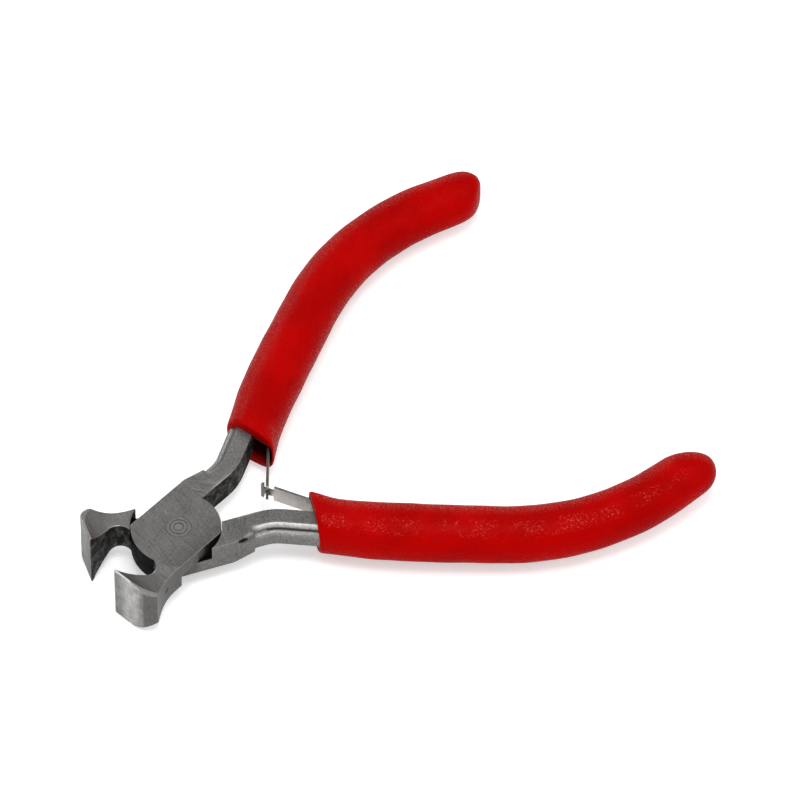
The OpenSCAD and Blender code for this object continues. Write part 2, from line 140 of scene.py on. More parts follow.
class Tree:
    """A node tree with one method that adds every node."""

    def __init__(self, tree: bpy.types.NodeTree) -> None:
        """Keep a tree and empty it."""
        self.nodes = tree.nodes
        self.links = tree.links
        self.nodes.clear()

    def node(self, kind: str, settings: dict, inputs: dict, output: int | str = 0) -> Shade:
        """Add a node, set it up and connect it.

        Args:
            kind: The node's type.
            settings: Attributes of the node.
            inputs: Values or sockets for the node's inputs, by name or place.
            output: The output that is handed back.

        Returns:
            The chosen output as a Shade.
        """
        made = self.nodes.new(kind)
        for key, value in settings.items():
            setattr(made, key, value)
        for key, value in inputs.items():
            if isinstance(value, Shade):
                self.links.new(value.socket, made.inputs[key])
            elif made.inputs[key].type == "RGBA":
                made.inputs[key].default_value = (*value, 1.0)
            else:
                made.inputs[key].default_value = value
        return Shade(self, made.outputs[output])

    def vector(self, operation: str, *values: Shade | Triple, output: str = "Vector") -> Shade:
        """Add one Vector Math node."""
        inputs = dict(enumerate(values))
        return self.node("ShaderNodeVectorMath", {"operation": operation}, inputs, output)

    def end(self, kind: str, shader: Shade) -> None:
        """Add the tree's output node and connect a shader to its surface."""
        made = self.nodes.new(kind)
        self.links.new(shader.socket, made.inputs["Surface"])


@dataclass(frozen=True)
class Noise:
    """A cloudy noise: its scale per millimetre, its detail and its roughness.

    With a stretch, it is laid on coordinates that are turned by some degrees about Z and then scaled, which
    draws it out into scratches.
    """

    scale: float
    detail: float = 2.0
    roughness: float = 0.5
    turn: float = 0.0
    stretch: Triple = EVEN


class Dye(Tree):
    """A material's node tree, with the nodes that the finishes share."""

    def __init__(self, name: str) -> None:
        """Start an empty material."""
        self.material = bpy.data.materials.new(name)
        self.material.use_nodes = True
        super().__init__(self.material.node_tree)
        self.coordinates = self.node("ShaderNodeTexCoord", {}, {}, "Object")
        self.normal = Shade(self, self.coordinates.socket.node.outputs["Normal"])

    def millimetres(self) -> Shade:
        """Object coordinates in millimetres."""
        return self.turned(self.coordinates, (0.0, 0.0, 0.0), PER_METRE)

    def mix(self, mask: Shade, low: Shade | Colour, high: Shade | Colour) -> Shade:
        """Mix two colours by a mask."""
        settings = {"data_type": "RGBA", "blend_type": "MIX"}
        return self.node("ShaderNodeMix", settings, {0: mask, 6: low, 7: high}, 2)

    def blend(self, mask: Shade, low: Shade, high: Shade) -> Shade:
        """Mix two directions by a mask."""
        return self.node("ShaderNodeMix", {"data_type": "VECTOR"}, {0: mask, 4: low, 5: high}, 1)

    def multiply(self, colour: Shade | Colour, factor: Shade) -> Shade:
        """Scale a colour by a number."""
        return self.node("ShaderNodeVectorMath", {"operation": "SCALE"}, {0: colour, "Scale": factor})

    def turned(self, source: Shade, turn: Triple, scale: Triple, kind: str = "POINT") -> Shade:
        """Turn coordinates by angles in degrees about X, Y and Z, and then scale them along the new axes."""
        angles = tuple(math.radians(a) for a in turn)
        spun = self.node("ShaderNodeMapping", {"vector_type": kind}, {"Vector": source, "Rotation": angles})
        return spun if scale == EVEN else self.vector("MULTIPLY", spun, scale)

    def split(self, vector: Shade) -> tuple[Shade, Shade, Shade]:
        """The three parts of a vector."""
        outs = self.node("ShaderNodeSeparateXYZ", {}, {0: vector}).socket.node.outputs
        return tuple(Shade(self, out) for out in outs)

    def noise(self, place: Shade, kind: Noise) -> Shade:
        """Lay a noise on coordinates."""
        if kind.stretch != EVEN:
            place = self.turned(place, (0.0, 0.0, kind.turn), kind.stretch)
        values = {"Vector": place, "Scale": kind.scale, "Detail": kind.detail, "Roughness": kind.roughness}
        return self.node("ShaderNodeTexNoise", {"noise_dimensions": "3D"}, values)

    def cells(self, place: Shade, scale: float) -> Shade:
        """Distance to the nearest of scattered points."""
        values = {"Vector": place, "Scale": scale}
        return self.node("ShaderNodeTexVoronoi", {"feature": "F1"}, values, "Distance")

    def bevel(self, radius: float, samples: int) -> Shade:
        """Normal that rounds the edges by a radius in millimetres."""
        return self.node("ShaderNodeBevel", {"samples": samples}, {"Radius": radius * MM})

    def bump(self, height: Shade, strength: float, distance: float, normal: Shade | None = None) -> Shade:
        """Normal of a surface raised by a height; the distance is what a height of 1 raises."""
        values = {"Height": height, "Strength": strength, "Distance": distance * MM}
        if normal is not None:
            values["Normal"] = normal
        return self.node("ShaderNodeBump", {}, values)

    def finish(self, inputs: dict) -> bpy.types.Material:
        """End the tree in one Principled shader with these inputs."""
        return self.surface(self.node("ShaderNodeBsdfPrincipled", {}, inputs))

    def surface(self, shader: Shade) -> bpy.types.Material:
        """End the tree in a shader."""
        self.end("ShaderNodeOutputMaterial", shader)
        return self.material


@dataclass(frozen=True)
class HalfShape:
    """Sizes of a half that its finish follows, and the facings that tell its faces apart.

    A facing is a part of the unit normal, and a depth is counted forwards from the jaw's end face.
    """

    neck: float = 12.6
    neck_blend: float = 0.8
    flare: Span = (9.6, 11.1)
    root: Span = (7.6, 8.2)
    beside_joint: Span = (7.0, 7.6)
    past_middle: Span = (0.2, 0.6)
    shoulder_start: Span = (-2.6, -1.6)
    shoulder_end: Span = (3.0, 1.6)
    shoulder_side: Span = (1.0, 2.5)
    jaw_reach: float = 16.9
    face_depth: Span = (-0.5, -0.2)
    facet_depth: Span = (-0.7, -0.5)
    plate_front_r: float = 8.87
    plate_back_r: float = 7.82
    plate_arm_side: float = 6.75
    wall: Span = (0.32, 0.2)
    wall_end: Span = (-0.35, -0.5)
    wall_half: Span = (0.0, 0.4)
    wall_facing: Span = (0.9, 0.96)
    floor: Span = (0.5, 0.3)
    head_r: float = 2.35
    head_rim: Span = (0.35, 0.2)
    throat: Span = (10.9, 1.45)
    throat_r: Span = (2.75, 2.5)
    ridge_height: Span = (1.8, 2.05)
    ridge_start: Span = (0.0, 1.5)
    ridge_facing: Span = (0.2, 0.5)
    ridge_top: Span = (0.995, 0.95)
    outer_facing: Span = (0.08, 0.2)
    flat_facing: Span = (0.9, 0.97)
    upright_facing: Span = (0.45, 0.3)
    lean_facing: Span = (0.95, 0.8)
    jaw_facing: Span = (0.75, 0.95)
    blade_facing: Span = (0.25, 0.5)
    arm_facing: Span = (0.35, 0.6)
    facet_facing: Span = (0.45, 0.6)
    facet_steep: Span = (0.85, 0.75)


@dataclass(frozen=True)
class HalfTint:
    """What sets the two halves apart in the photo: how light falls on each, and its small forging fault.

    The ridge's colour, a painted highlight on the bottom half and painted shade on the top half, is laid on
    by a plain share and by one that follows the grain.
    """

    # Shares of painted light and shade on each half: flank, arm, root, jaw's top and jaw's face
    flank_light_share: float
    arm_light: float
    root_shade: float
    jaw_light: float
    face_light: float
    # A painted highlight on the bottom half's ridge and painted shade on the top half's
    ridge: Colour
    ridge_light_share: float
    ridge_light_grain_share: float
    fault_middle: Triple
    fault_reach: Triple


HALF_TINTS = {
    Lever.TOP: HalfTint(
        flank_light_share=0.2,
        arm_light=0.15,
        root_shade=0.03,
        jaw_light=0.0,
        face_light=0.95,
        ridge=(0.055, 0.054, 0.052),
        ridge_light_share=0.7,
        ridge_light_grain_share=0.0,
        fault_middle=(-10.38, -6.86, -0.14),
        fault_reach=(0.6, 0.6, 0.5),
    ),
    Lever.BOTTOM: HalfTint(
        flank_light_share=1.0,
        arm_light=0.0,
        root_shade=0.17,
        jaw_light=0.16,
        face_light=0.4,
        ridge=(0.43, 0.424, 0.412),
        ridge_light_share=0.45,
        ridge_light_grain_share=0.5,
        fault_middle=(10.4, 6.6, -2.6),
        fault_reach=(1.1, 0.6, 0.42),
    ),
}


class HalfDye(Dye):
    """Node tree of a forged half: place and facing in its own shut frame, and masks of its parts.

    The inner faces look at the other half, and of these the sunk ones lie in the joint. On the running walls
    and round the rivet's head, which are tight, no edge is rounded.
    """

    def __init__(self, lever: Lever, shape: HalfShape) -> None:
        """Start the material of a lever's half and lay out its masks.

        Args:
            lever: The lever whose half is dressed.
            shape: The sizes that the masks follow.
        """
        super().__init__(f"forged_steel_{lever.short}")
        self.tint = HALF_TINTS[lever]
        turn = (0.0 if lever is Lever.TOP else 180.0, 0.0, -HALF_OPEN)
        centred = self.vector("SUBTRACT", self.coordinates, (0.0, 0.0, HALF_T * MM))
        self.place = self.turned(centred, turn, PER_METRE)
        x, y, z = self.x, self.y, self.z = self.split(self.place)
        nx, ny, nz = self.split(self.turned(self.normal, turn, EVEN, "VECTOR"))
        self.ny, self.nz = ny, nz
        self.radius = self.distance(x, y)

        tilt, ahead, past_face = abs(nz), -nx, -x - shape.jaw_reach
        self.flat = tilt.ramp(*shape.flat_facing)
        self.upright = tilt.ramp(*shape.upright_facing)
        self.arm = x.ramp(shape.neck - shape.neck_blend, shape.neck + shape.neck_blend)
        self.jaw = (-x).ramp(*shape.flare)
        self.root = x.ramp(*shape.root) * (1.0 - self.arm)
        past_neck = x - shape.neck
        shoulder = past_neck.ramp(*shape.shoulder_start) & past_neck.ramp(*shape.shoulder_end)
        self.shoulder = shoulder & y.ramp(*shape.shoulder_side)
        self.jaw_face = ahead.ramp(*shape.jaw_facing) & past_face.ramp(*shape.face_depth)
        facet = ahead.ramp(*shape.facet_facing) & ahead.ramp(*shape.facet_steep)
        self.facet = facet & past_face.ramp(*shape.facet_depth)
        ridge = abs(z).ramp(*shape.ridge_height) & past_neck.ramp(*shape.ridge_start)
        ridge = ridge & (tilt.ramp(*shape.ridge_facing) & tilt.ramp(*shape.ridge_top))
        self.ridge = ridge & ny.ramp(*shape.outer_facing)

        ring = (abs(self.radius - shape.plate_front_r).ramp(*shape.wall) & (-x).ramp(*shape.wall_half)) | (
            abs(self.radius - shape.plate_back_r).ramp(*shape.wall) & x.ramp(*shape.wall_half)
        )
        ring = ring & (abs(y) - shape.plate_arm_side).ramp(*shape.wall_end)
        radial = abs(nx * x + ny * y) / self.radius
        self.tight = ring | (self.radius - shape.head_r).ramp(*shape.head_rim)
        walls = ring & self.upright & radial.ramp(*shape.wall_facing)
        self.sunk = walls | (abs(z).ramp(*shape.floor) & self.flat)
        blade = ny.ramp(*shape.blade_facing) & (-x).ramp(*shape.beside_joint)
        inside = (-ny).ramp(*shape.arm_facing) & x.ramp(*shape.beside_joint) & y.ramp(*shape.past_middle)
        throat = self.distance(x + shape.throat[0], y + shape.throat[1]).ramp(*shape.throat_r) & self.upright
        self.inner = ((blade | inside) & tilt.ramp(*shape.lean_facing)) | (throat | self.sunk)

    def distance(self, a: Shade, b: Shade) -> Shade:
        """Length of the hypotenuse over two sides."""
        return (a**2.0 + b**2.0) ** 0.5


@dataclass(frozen=True)
class HalfMarks:
    """Noises of a half's finish, each around one half, and the mask of its pits."""

    scratch: Shade
    drawn: Shade
    grain: Shade
    sand: Shade
    cloud: Shade
    blotch: Shade
    grit: Shade
    pits: Shade


@dataclass(frozen=True)
class ForgedSteel:
    """Steel of a half: ground at the joint and jaws, blasted on the arm, dark on the inner faces."""

    shape: HalfShape = HalfShape()
    ground: Colour = (0.128, 0.124, 0.119)
    bright: Colour = (0.42, 0.415, 0.4)
    blasted: Colour = (0.1, 0.098, 0.094)
    # Painted light: the arm's outer flank, lighter where light falls on it
    flank: Colour = (0.2, 0.196, 0.189)
    honed: Colour = (0.6, 0.59, 0.565)
    dark: Colour = (0.018, 0.018, 0.018)
    worn: Colour = (0.12, 0.118, 0.112)
    # Painted shade deep in the joint
    pocket_shade: Colour = (0.004, 0.004, 0.004)
    pit: Colour = (0.03, 0.03, 0.03)
    # The forging fault is real; its near-black pit is painted shade
    fault: Colour = (0.008, 0.008, 0.008)
    long_scratch: Noise = Noise(1.0, 4.0, 0.75, 104.0, (0.22, 2.8, 1.0))
    cross_scratch: Noise = Noise(1.0, 3.0, 0.75, 166.0, (0.16, 3.4, 1.0))
    hair_scratch: Noise = Noise(1.0, 2.0, 0.6, 90.0, (0.1, 5.0, 1.0))
    cutter_arcs: Noise = Noise(1.0, 3.0, 0.7)
    cutter_middle: Span = (-9.0, -7.0)
    cutter_pitch: Span = (3.2, 0.2)
    drawn: Noise = Noise(1.0, 3.0, 0.6, 0.0, (2.5, 4.0, 0.3))
    grain: Noise = Noise(2.4, 3.0, 0.8)
    sand: Noise = Noise(4.2, 2.0, 0.7)
    cloud: Noise = Noise(0.3, 3.0, 0.55)
    blotch: Noise = Noise(0.7, 4.0, 0.65)
    grit_scale: float = 3.0
    pit_size: Noise = Noise(1.7)
    pit_depth: Span = (0.7, 0.76)
    pit_place: Noise = Noise(0.4, 1.0)
    pit_patch: Span = (0.46, 0.56)
    edge_r: float = 0.14
    jaw_edge_r: float = 0.5
    shoulder_edge_r: float = 1.0
    edge_turn: Span = (0.995, 0.9)
    # Spans of the painted light on the outer flank and on the joint's outer side
    flank_facing: Span = (0.25, 0.65)
    side_facing: Span = (0.5, 0.8)
    side_start: Span = (1.0, 2.0)
    # Spans of the painted shade on the plate's flat faces
    lap_r: Span = (9.6, 8.6)
    lap_low: Span = (1.0, 7.0)
    # Spans of the painted shade at both sides of the jaw's face
    face_inner: Span = (-3.2, -0.8)
    face_outer: Span = (4.6, 7.4)
    crown_r: float = 12.1
    crown_y: float = 1.0
    crown_drop: float = 5.45
    honed_strip: Span = (0.8, 0.5)
    honed_end: Span = (-5.0, -3.6)
    facet_facing: Span = (0.3, 0.5)
    relief: float = 0.07

    def make(self, lever: Lever) -> bpy.types.Material:
        """Build the material of one lever's half."""
        half = HalfDye(lever, self.shape)
        marks = self.marks(half)
        rounded, corner = self.edges(half)
        steel = half.mix(half.inner, self.outside(half, marks), self.inside(half, marks))
        steel = half.mix(marks.pits * 0.7, steel, self.pit)
        # Painted shade in the forging fault's pit
        steel = half.mix(self.fault_mask(half, marks) * 0.95, steel, self.fault)
        steel = half.mix(corner * 0.5 * (1.0 - half.inner * 0.8), steel, self.bright)

        rough = 0.42 + half.arm * 0.06 + half.ridge * 0.13 + marks.scratch.swing(0.25)
        rough = rough + half.inner * 0.25 - half.jaw_face * 0.06
        height = marks.scratch * 0.6 * (1.0 - half.arm) - marks.pits * 0.9
        height = height + (marks.grit * 0.6 + marks.grain) * (half.arm | half.inner * 0.8)
        height = height + marks.drawn * 0.35 * half.jaw_face
        relief = half.bump(height, 0.6, self.relief, rounded)
        return half.finish({"Base Color": steel, "Metallic": 1.0, "Roughness": rough, "Normal": relief})

    def marks(self, half: HalfDye) -> HalfMarks:
        """Lay out the marks of the finish.

        They are crossing scratches of the grinding, arcs of the cutter on the arm's root, drawn lines on the
        jaw's face, grain of the blasting, and scattered pits.

        Args:
            half: The half's node tree.

        Returns:
            The marks.
        """
        place = half.place
        hair = half.noise(place, self.hair_scratch)
        scratch = half.noise(place, self.long_scratch) * 0.42 + half.noise(place, self.cross_scratch) * 0.28
        reach = half.distance(half.x - self.cutter_middle[0], half.y - self.cutter_middle[1])
        swept = {0: reach * self.cutter_pitch[0], 1: half.y * self.cutter_pitch[1], 2: half.z}
        arcs = half.noise(half.node("ShaderNodeCombineXYZ", {}, swept), self.cutter_arcs)
        ground = (scratch + hair * 0.3) * (1.0 - half.root) + (arcs * 0.7 + hair * 0.3) * half.root
        pits = half.noise(place, self.pit_size).ramp(*self.pit_depth)
        pits = pits & half.noise(place, self.pit_place).ramp(*self.pit_patch)
        kinds = (self.drawn, self.grain, self.sand, self.cloud, self.blotch)
        noises = [half.noise(place, kind) for kind in kinds]
        return HalfMarks(ground, *noises, half.cells(place, self.grit_scale), pits)

    def edges(self, half: HalfDye) -> tuple[Shade, Shade]:
        """Normal that rounds the edges, most on the shoulder, and a mask of the edges."""
        true_normal = half.node("ShaderNodeNewGeometry", {}, {}, "Normal")
        rounded = half.blend(half.jaw, half.bevel(self.edge_r, 4), half.bevel(self.jaw_edge_r, 6))
        rounded = half.blend(half.shoulder, rounded, half.bevel(self.shoulder_edge_r, 6))
        leave = half.vector("DOT_PRODUCT", rounded, true_normal, output="Value")
        corner = leave.ramp(*self.edge_turn) * (1.0 - half.tight) * (1.0 - half.shoulder * 0.7)
        return half.blend(half.tight, rounded, true_normal), corner

    def outside(self, half: HalfDye, marks: HalfMarks) -> Shade:
        """Colour of the faces that light reaches, with light and shade painted on some of them.

        Args:
            half: The half's node tree.
            marks: The marks of its finish.

        Returns:
            The colour.
        """
        tint, arm, flat = half.tint, half.arm, half.flat
        skin = half.mix(arm, self.ground, self.blasted)
        # Painted light: the arm's outer flank lighter, fully on the bottom half and a little on the top half
        skin = half.mix(half.ny.ramp(*self.flank_facing) * arm * tint.flank_light_share, skin, self.flank)
        # Painted shade: the plate's flat faces a little darker, and more so towards -Y
        low = (-half.y).ramp(*self.lap_low) * 0.27 + 0.08
        lap = flat * half.radius.ramp(*self.lap_r) * low
        # Painted light: the joint's upright outer side lighter, by the flank's share
        side = (half.ny.ramp(*self.side_facing) & half.upright) * half.x.ramp(*self.side_start)
        side = side * (1.0 - arm) * tint.flank_light_share
        tone = marks.scratch.swing(1.8) * (1.0 - arm) + marks.grain.swing(1.7) * arm
        tone = tone + marks.sand.swing(1.2) + marks.cloud.swing(0.45) + 1.0
        # Painted light and shade set for each half: the arm and the jaw's top lighter, the root darker
        lift = side * 0.4 + arm * tint.arm_light + half.jaw * flat * tint.jaw_light
        steel = half.multiply(skin, tone * (1.0 - lap - half.root * flat * tint.root_shade + lift))

        # Painted shade: the jaw's face darker towards both sides, and lighter or darker for each half
        face_tone = marks.drawn.swing(0.9) + marks.cloud.swing(0.6) + marks.blotch.swing(1.4)
        face_tone = (face_tone + marks.sand.swing(0.8) + 1.0) * (1.0 - half.y.ramp(*self.face_inner) * 0.45)
        face_tone = face_tone * (1.0 - (-half.y).ramp(*self.face_outer) * 0.55) * tint.face_light
        steel = half.mix(half.jaw_face, steel, half.multiply(self.bright, face_tone))
        crown = half.distance(half.y + self.crown_y, half.z + self.crown_drop)
        strip = (self.crown_r - crown + marks.blotch.swing(0.9)).ramp(*self.honed_strip)
        honed = (half.facet & half.nz.ramp(*self.facet_facing)) | (half.jaw_face & strip)
        honed = (honed & half.y.ramp(*self.honed_end)) * marks.grain.ramp(0.2, 0.5)
        steel = half.mix(honed, steel, self.honed)
        # Painted highlight along the bottom half's ridge, grainy, and painted shade on the top half's
        ridge_light_share = marks.grain.ramp(0.3, 0.62) * tint.ridge_light_grain_share + tint.ridge_light_share
        return half.mix(half.ridge * ridge_light_share, steel, tint.ridge)

    def inside(self, half: HalfDye, marks: HalfMarks) -> Shade:
        """Colour of the inner faces: black scale, worn in patches, and deep shade in the joint."""
        scale = half.mix(marks.blotch.ramp(0.4, 0.66), self.dark, self.worn)
        scale = half.multiply(scale, marks.grain.swing(4.0) + 1.0)
        return half.mix(half.sunk, scale, self.pocket_shade)

    def fault_mask(self, half: HalfDye, marks: HalfMarks) -> Shade:
        """Mask of the half's small forging fault, a ragged ellipsoid about one place."""
        from_middle = half.vector("SUBTRACT", half.place, half.tint.fault_middle)
        scaled = half.vector("DIVIDE", from_middle, half.tint.fault_reach)
        return (half.vector("LENGTH", scaled, output="Value") + marks.blotch.swing(2.4)).ramp(1.1, 0.8)


@dataclass(frozen=True)
class RivetSteel:
    """Rivet ground flush with the joint, with faint turned rings."""

    steel: Colour = (0.128, 0.125, 0.117)
    middle: Colour = (0.15, 0.148, 0.138)
    ring: Colour = (0.05, 0.049, 0.045)
    middle_r: Span = (1.5, 1.2)
    rings: tuple[tuple[float, ...], ...] = (
        (1.58, 0.16, 0.04, 1.0),
        (0.92, 0.14, 0.04, 1.0),
        (2.28, 0.12, 0.03, 0.7),
    )
    scratch: Noise = Noise(1.0, 4.0, 0.75, 90.0, (0.11, 2.6, 1.0))
    cloud: Noise = Noise(0.9, 3.0, 0.6)
    relief: float = 0.06

    def make(self) -> bpy.types.Material:
        """Build the material; each ring has a radius, its outer and inner half width and its strength."""
        dye = Dye("rivet_steel")
        place = dye.millimetres()
        x, y, _ = dye.split(place)
        scratch = dye.noise(place, self.scratch)
        wobble = (x * x + y * y) ** 0.5 + dye.noise(place, self.cloud).swing(0.3)
        rings = 0.0
        for r, wide, narrow, share in self.rings:
            rings = abs(wobble - r).ramp(wide, narrow) * share | rings
        steel = dye.mix(wobble.ramp(*self.middle_r) * 0.6, self.steel, self.middle)
        steel = dye.multiply(steel, scratch.swing(1.1) + 1.0)
        steel = dye.mix(rings * 0.75, steel, self.ring)
        relief = dye.bump(scratch * 0.6 - rings * 0.5, 0.5, self.relief)
        rough = scratch.swing(0.2) + 0.42
        return dye.finish({"Base Color": steel, "Metallic": 1.0, "Roughness": rough, "Normal": relief})


@dataclass(frozen=True)
class SpringSteel:
    """Bright strip with small dark specks from the rolls, darker at its linked end and on its cut edges."""

    # Painted light and shade: the slotted leaf's strip darker and the hooked leaf's lighter, as light fell
    # on each
    strip: Colour = (0.36, 0.34, 0.31)
    hooked_lighter_strip: Colour = (0.8, 0.76, 0.71)
    end_dark: Colour = (0.1, 0.098, 0.092)
    speck: Colour = (0.1, 0.095, 0.085)
    sheared: Colour = (0.05, 0.048, 0.045)
    linked_end: Span = (19.9, 18.5)
    edge_facing: Span = (0.6, 0.9)
    cloud: Noise = Noise(0.7, 3.0, 0.6)
    grain: Noise = Noise(3.5, 3.0, 0.7)
    speck_scale: float = 1.1
    speck_size: Span = (0.2, 0.1)
    speck_place: Noise = Noise(0.9, 1.0)
    speck_patch: Span = (0.42, 0.55)
    edge_r: float = 0.06
    relief: float = 0.04

    def make(self, node: str) -> bpy.types.Material:
        """Build the material of one leaf; the hooked one is painted lighter than the slotted one."""
        dye = Dye(f"spring_steel_{node}")
        place = dye.millimetres()
        x, _, _ = dye.split(place)
        _, _, nz = dye.split(dye.normal)
        cloud = dye.noise(place, self.cloud)
        grain = dye.noise(place, self.grain)
        specks = dye.cells(place, self.speck_scale).ramp(*self.speck_size)
        specks = specks & dye.noise(place, self.speck_place).ramp(*self.speck_patch)
        # Painted light and shade: lighter and darker copies of one steel for the two leaves
        strip = self.hooked_lighter_strip if node == "hooked_leaf" else self.strip
        strip = dye.mix(x.ramp(*self.linked_end) * 0.75, strip, self.end_dark)
        strip = dye.multiply(strip, cloud.swing(0.5) + grain.swing(0.35) + 1.0)
        strip = dye.mix(abs(nz).ramp(*self.edge_facing) * 0.9, strip, self.sheared)
        strip = dye.mix(specks * 0.75, strip, self.speck)
        relief = dye.bump(grain * 0.4 - specks * 0.6, 0.45, self.relief, dye.bevel(self.edge_r, 4))
        rough = cloud.swing(0.2) + 0.34
        return dye.finish({"Base Color": strip, "Metallic": 1.0, "Roughness": rough, "Normal": relief})


@dataclass(frozen=True)
class DippedVinyl:
    """Soft dipped vinyl with a finely pimpled skin, with painted sheen and painted shade where it turns away
    from the top front.

    Painted highlights, as glinting specks, lie along the band that looks at the glance direction, more on
    the bottom grip, and thinly where the skin turns away.
    """

    red: Colour = (0.36, 0.0003, 0.0002)
    bright: Colour = (0.44, 0.0005, 0.0003)
    # Painted sheen and painted shade where the skin turns away from the top front
    turned_sheen: Colour = (0.36, 0.04, 0.032)
    turned_shade: Colour = (0.13, 0.006, 0.004)
    # Colour of the painted glints
    speck: Colour = (0.95, 0.16, 0.12)
    shade: Colour = (0.05, 0.0004, 0.0002)
    front: Triple = (-0.418, -0.64, 0.644)
    turned_facing: Span = (0.62, 0.22)
    behind: Span = (-0.1, -0.6)
    glance: Triple = (-0.2, -0.35, 0.915)
    glance_band: Span = (0.92, 0.985)
    top_glint_share: float = 0.06
    bottom_glint_share: float = 0.6
    turned_glint_share: float = 0.45
    pimple_scale: float = 1.7
    pimple_size: Span = (0.5, 0.05)
    crease: Noise = Noise(1.5, 3.0, 0.7)
    crease_width: Span = (0.07, 0.0)
    fine: Noise = Noise(2.7, 3.0, 0.7)
    cloud: Noise = Noise(0.1)
    patch: Noise = Noise(0.25, 3.0, 0.6)
    squiggle: Noise = Noise(2.1, 2.0, 0.6)
    squiggle_width: Span = (0.045, 0.0)
    specular: float = 0.015
    relief: float = 0.11

    def make(self, lever: Lever) -> bpy.types.Material:
        """Build the material of one lever's grip.

        The mesh's attribute "hollow" rises from 0 on the skin to 1 deep in the mouth.

        Args:
            lever: The lever whose grip is dressed.

        Returns:
            The material.
        """
        dye = Dye(f"dipped_vinyl_{lever.short}")
        place = dye.millimetres()
        hollow = dye.node("ShaderNodeAttribute", {"attribute_name": "hollow"}, {}, "Fac")
        creases = abs(dye.noise(place, self.crease) - 0.5).ramp(*self.crease_width)
        fine = dye.noise(place, self.fine)
        facing = self.toward(dye, self.front)
        away = facing.ramp(*self.turned_facing) * (1.0 - facing.ramp(*self.behind) * 0.6)
        skin = dye.mix(dye.noise(place, self.cloud).ramp(0.35, 0.65), self.red, self.bright)
        skin = dye.multiply(skin, fine.swing(0.2) + 1.0)
        # Painted shade and painted sheen in the skin's texture where it turns away from the top front
        skin = dye.mix(away * fine.ramp(0.45, 0.35) * 0.8, skin, self.turned_shade)
        skin = dye.mix(away * (fine.ramp(0.46, 0.62) * 0.7 + creases * 0.3), skin, self.turned_sheen)

        # Painted highlight: glints on the glance band, more on the bottom grip, and thin where the skin
        # turns away
        share = self.top_glint_share if lever is Lever.TOP else self.bottom_glint_share
        band = self.toward(dye, self.glance).ramp(*self.glance_band) * share
        squiggles = abs(dye.noise(place, self.squiggle) - 0.5).ramp(*self.squiggle_width)
        glint = (squiggles & fine.ramp(0.51, 0.62)) & dye.noise(place, self.patch).ramp(0.42, 0.56)
        skin = dye.mix(glint * (band | away * self.turned_glint_share), skin, self.speck)
        skin = dye.mix(hollow, skin, self.shade)

        rough = fine.swing(0.2) + 0.26 + hollow * 0.5
        pimples = dye.cells(place, self.pimple_scale).ramp(*self.pimple_size)
        relief = dye.bump(pimples * 0.5 + fine * 0.8 + creases * 0.3, 0.6, self.relief)
        return dye.finish(
            {"Base Color": skin, "Roughness": rough, "Normal": relief, "Specular IOR Level": self.specular}
        )

    def toward(self, dye: Dye, direction: Triple) -> Shade:
        """Cosine of the angle between the skin's normal and a direction."""
        return dye.vector("DOT_PRODUCT", dye.normal, direction, output="Value")


def smooth(u: np.ndarray) -> np.ndarray:
    """Smooth step: 0 below 0, 1 above 1, and 3u² - 2u³ between."""
    v = np.clip(u, 0.0, 1.0)
    return v * v * (3.0 - 2.0 * v)


def signed_power(values: np.ndarray, power: float | np.ndarray) -> np.ndarray:
    """Raise the sizes of values to a power and keep their signs, as a superellipse does."""
    return np.sign(values) * np.abs(values) ** power


def step_on(place: Triple, length: float | np.ndarray, turn: float | np.ndarray) -> tuple:
    """Go on from a place along an arc of constant curvature.

    The chord of an arc of length L that turns through t has length L sin(t/2) / (t/2) and leaves at half the
    turn.

    Args:
        place: The starting x, y and heading in degrees.
        length: Length of the arc.
        turn: Angle that it turns through, in degrees.

    Returns:
        The x, y and heading at the arc's end.
    """
    half = np.radians(turn) / 2.0
    chord = length * np.sinc(half / np.pi)
    lean = np.radians(place[2]) + half
    return place[0] + chord * np.cos(lean), place[1] + chord * np.sin(lean), place[2] + turn


@dataclass(frozen=True)
class HandlePath:
    """Middle line of a handle: three arcs from the grip's mouth to its end, each a length and a turn."""

    end_length: float
    end_turn: float = -2.59
    straight: Span = (36.3, -4.7)
    crook: Span = (32.0, -40.5)
    arm_side: float = 1.42
    neck_x: float = 14.6
    bend_r: float = 11.5
    bend_angle: float = 24.6
    mouth_lead: float = 3.8
    middle: float = 1.3

    @property
    def arcs(self) -> tuple[Span, ...]:
        """All arcs of the line."""
        return self.straight, self.crook, (self.end_length, self.end_turn)

    @property
    def length(self) -> float:
        """Length of the whole line."""
        return sum(length for length, _ in self.arcs)

    def start(self) -> Triple:
        """Place and heading of the line at the grip's mouth, past the arm's bend."""
        neck = (self.neck_x, self.arm_side, 0.0)
        bend = step_on(neck, self.bend_r * math.radians(self.bend_angle), self.bend_angle)
        x, y, heading = step_on(bend, self.mouth_lead, 0.0)
        a = math.radians(heading)
        return x - self.middle * math.sin(a), y + self.middle * math.cos(a), heading

    def point(self, s: np.ndarray, off: np.ndarray) -> np.ndarray:
        """Points at distances along the middle line and off to its left, as x and y on the last axis."""
        place, done, here = self.start(), 0.0, None
        for length, turn in self.arcs:
            past = s - done
            new = step_on(place, past, turn * past / length)
            here = new if here is None else tuple(np.where(past > 0.0, *both) for both in zip(new, here))
            place, done = step_on(place, length, turn), done + length
        x, y, heading = here
        a = np.radians(heading)
        return np.stack([x - off * np.sin(a), y + off * np.cos(a)], axis=-1)


@dataclass(frozen=True)
class GripEnd:
    """Blunt end of one grip; each was dipped by itself, so the two differ a little."""

    arc: float
    length: float
    square: float
    gable: float
    slant: float
    width_share: float
    height_share: float


GRIP_ENDS = {
    Lever.TOP: GripEnd(
        arc=10.67, length=8.04, square=4.98, gable=0.277, slant=0.18, width_share=0.931, height_share=0.917
    ),
    Lever.BOTTOM: GripEnd(
        arc=10.43, length=6.87, square=2.37, gable=0.205, slant=0.337, width_share=0.97, height_share=0.822
    ),
}


